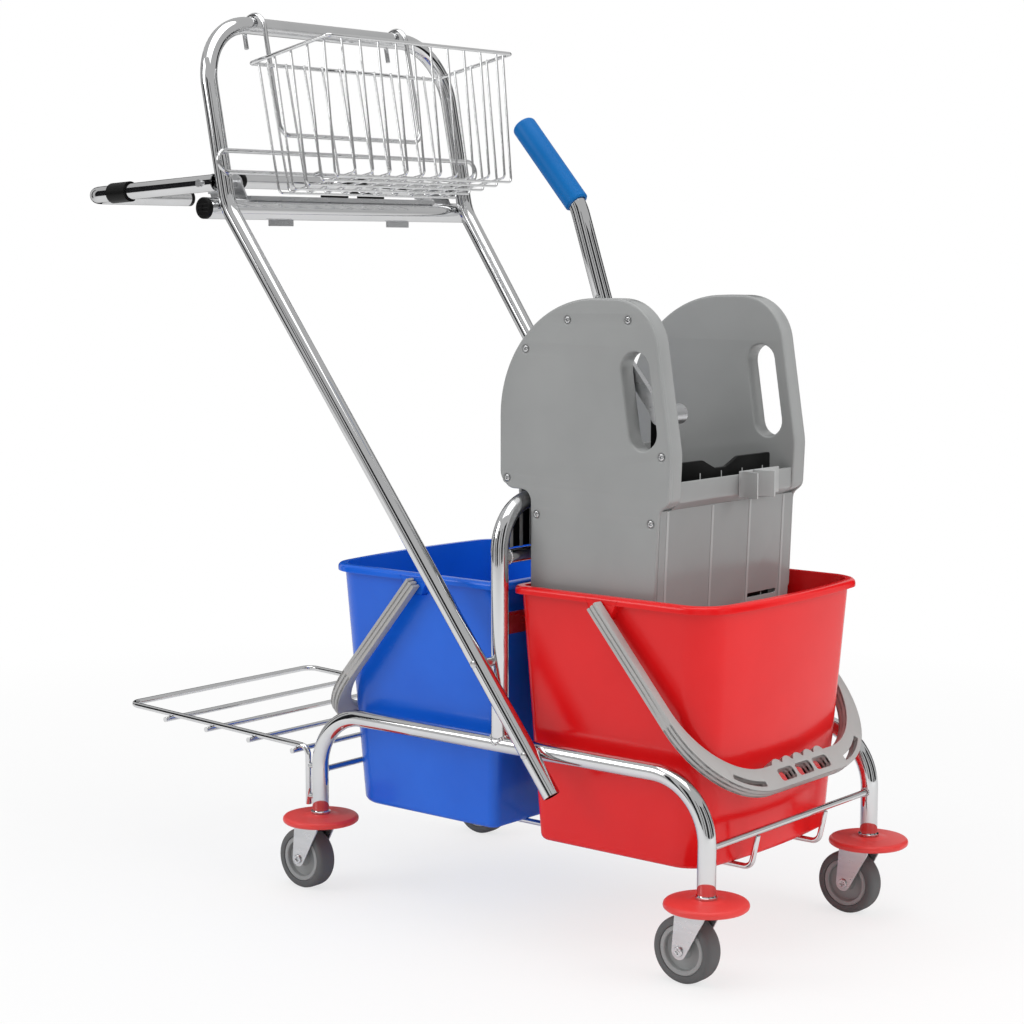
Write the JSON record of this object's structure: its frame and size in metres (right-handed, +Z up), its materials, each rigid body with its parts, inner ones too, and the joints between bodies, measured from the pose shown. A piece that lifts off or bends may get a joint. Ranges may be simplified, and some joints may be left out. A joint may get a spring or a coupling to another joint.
{
  "type": "double mop bucket trolley",
  "caption": "Chromed cleaning trolley with a blue and a red mop bucket, a lever wringer, a wire basket, a bag holder, a rear wire platform and swivel casters with bumpers.",
  "frame": {"origin": "on the floor, under the centre of the whole trolley's bounding box", "axes": "+X towards the red bucket's end, +Y to the far side, +Z up"},
  "size_m": [1.0551, 0.512, 1.1514],
  "materials": {
    "chrome": "bright chrome plate",
    "steel_sheet": "zinc plated steel",
    "red_plastic": "smooth moulded plastic",
    "blue_plastic": "smooth moulded plastic",
    "wringer_grey": "satin moulded plastic",
    "bail_grey": "satin moulded plastic",
    "black_plastic": "black plastic",
    "grip_blue": "soft plastic sleeve",
    "hub_grey": "moulded nylon",
    "tyre_grey": "grey rubber tread"
  },
  "bodies": {
    "chassis": {"side_tube_near": "chrome", "side_tube_far": "chrome", "end_rods": "chrome", "cradle_wires": "chrome", "wringer_arch": "chrome", "arch_lower_bar": "chrome", "bucket_strap": "steel_sheet", "handle_frame": "chrome", "handle_bolts": "steel_sheet", "platform_frame": "chrome", "platform_wires": "chrome", "platform_bolts": "steel_sheet", "bag_rail": "chrome", "bag_rail_plugs": "black_plastic", "bag_strip": "steel_sheet", "bag_pads": "black_plastic", "bag_bracket_near": "steel_sheet", "bag_bracket_far": "steel_sheet", "bumper_rings": "red_plastic", "caster_bushes": "black_plastic"},
    "caster_front_near": {"fork_front_near": "steel_sheet"},
    "wheel_front_near": {"hub_front_near": "hub_grey", "tyre_front_near": "tyre_grey"},
    "caster_front_far": {"fork_front_far": "steel_sheet"},
    "wheel_front_far": {"hub_front_far": "hub_grey", "tyre_front_far": "tyre_grey"},
    "caster_rear_near": {"fork_rear_near": "steel_sheet"},
    "wheel_rear_near": {"hub_rear_near": "hub_grey", "tyre_rear_near": "tyre_grey"},
    "caster_rear_far": {"fork_rear_far": "steel_sheet"},
    "wheel_rear_far": {"hub_rear_far": "hub_grey", "tyre_rear_far": "tyre_grey"},
    "bag_arm_near": {"bag_arm_near": "chrome", "bag_fittings_near": "black_plastic"},
    "bag_arm_far": {"bag_arm_far": "chrome", "bag_fittings_far": "black_plastic"},
    "blue_bucket": {"blue_bucket": "blue_plastic"},
    "blue_bail": {"blue_bail": "bail_grey"},
    "red_bucket": {"red_bucket": "red_plastic"},
    "red_bail": {"red_bail": "bail_grey"},
    "wringer": {"wringer_tub": "wringer_grey", "cheek_near": "wringer_grey", "cheek_far": "wringer_grey", "cheek_screws": "steel_sheet", "tool_clip": "wringer_grey", "sieve_floor": "black_plastic"},
    "lever": {"lever_tube": "chrome", "lever_grip": "grip_blue", "lever_shaft": "steel_sheet"},
    "press": {"press_plate": "black_plastic", "push_arm": "black_plastic"},
    "basket": {"basket_rim": "chrome", "basket_front": "chrome", "basket_rear": "chrome", "basket_side_near": "chrome", "basket_side_far": "chrome", "basket_floor": "chrome", "basket_hanger": "chrome", "basket_spacer": "chrome"}
  },
  "joints": [
    {"name": "swivel_front_near", "type": "hinge", "parent": "chassis", "child": "caster_front_near", "pos_m": [0.4777, -0.1803, 0.09], "axis": [0, 0, 1], "continuous": true},
    {"name": "roll_front_near", "type": "hinge", "parent": "caster_front_near", "child": "wheel_front_near", "pos_m": [0.4517, -0.1803, 0.04], "axis": [0, 1, 0], "continuous": true},
    {"name": "swivel_front_far", "type": "hinge", "parent": "chassis", "child": "caster_front_far", "pos_m": [0.4777, 0.1803, 0.09], "axis": [0, 0, 1], "continuous": true},
    {"name": "roll_front_far", "type": "hinge", "parent": "caster_front_far", "child": "wheel_front_far", "pos_m": [0.4517, 0.1803, 0.04], "axis": [0, 1, 0], "continuous": true},
    {"name": "swivel_rear_near", "type": "hinge", "parent": "chassis", "child": "caster_rear_near", "pos_m": [-0.1373, -0.1803, 0.09], "axis": [0, 0, 1], "continuous": true},
    {"name": "roll_rear_near", "type": "hinge", "parent": "caster_rear_near", "child": "wheel_rear_near", "pos_m": [-0.1633, -0.1803, 0.04], "axis": [0, 1, 0], "continuous": true},
    {"name": "swivel_rear_far", "type": "hinge", "parent": "chassis", "child": "caster_rear_far", "pos_m": [-0.1373, 0.1803, 0.09], "axis": [0, 0, 1], "continuous": true},
    {"name": "roll_rear_far", "type": "hinge", "parent": "caster_rear_far", "child": "wheel_rear_far", "pos_m": [-0.1633, 0.1803, 0.04], "axis": [0, 1, 0], "continuous": true},
    {"name": "bag_arm_near_fold", "type": "hinge", "parent": "chassis", "child": "bag_arm_near", "pos_m": [-0.2807, -0.23384, 0.926], "axis": [0, 1, 0], "range_deg": [0, 75]},
    {"name": "bag_arm_far_fold", "type": "hinge", "parent": "chassis", "child": "bag_arm_far", "pos_m": [-0.2807, 0.23384, 0.926], "axis": [0, 1, 0], "range_deg": [0, 68]},
    {"name": "blue_bucket_lift", "type": "slide", "parent": "chassis", "child": "blue_bucket", "axis": [-0.1045, 0, 0.9945], "range_m": [0, 0.09]},
    {"name": "blue_bail_swing", "type": "hinge", "parent": "blue_bucket", "child": "blue_bail", "pos_m": [0.0222, 0, 0.4198], "axis": [0, 1, 0], "range_deg": [0, 116]},
    {"name": "red_bucket_lift", "type": "slide", "parent": "chassis", "child": "red_bucket", "axis": [0.2079, 0, 0.9781], "range_m": [0, 0.2]},
    {"name": "red_bail_swing", "type": "hinge", "parent": "red_bucket", "child": "red_bail", "pos_m": [0.3182, 0, 0.4198], "axis": [0, -1, 0], "range_deg": [0, 102]},
    {"name": "wringer_lift", "type": "slide", "parent": "red_bucket", "child": "wringer", "axis": [0, 0, 1], "range_m": [0, 0.25]},
    {"name": "lever_pull", "type": "hinge", "parent": "wringer", "child": "lever", "pos_m": [0.2752, -0.1, 0.75], "axis": [0, 1, 0], "range_deg": [0, 60]},
    {"name": "press_swing", "type": "hinge", "parent": "wringer", "child": "press", "pos_m": [0.36033, 0, 0.342], "axis": [0, 1, 0], "range_deg": [-25.8, 0]},
    {"name": "basket_lift", "type": "slide", "parent": "chassis", "child": "basket", "axis": [0, 0, 1], "range_m": [0, 0.12]}
  ],
  "couplings": [
    {"joint": "press_swing", "follows": "lever_pull", "ratio": -0.43}
  ]
}
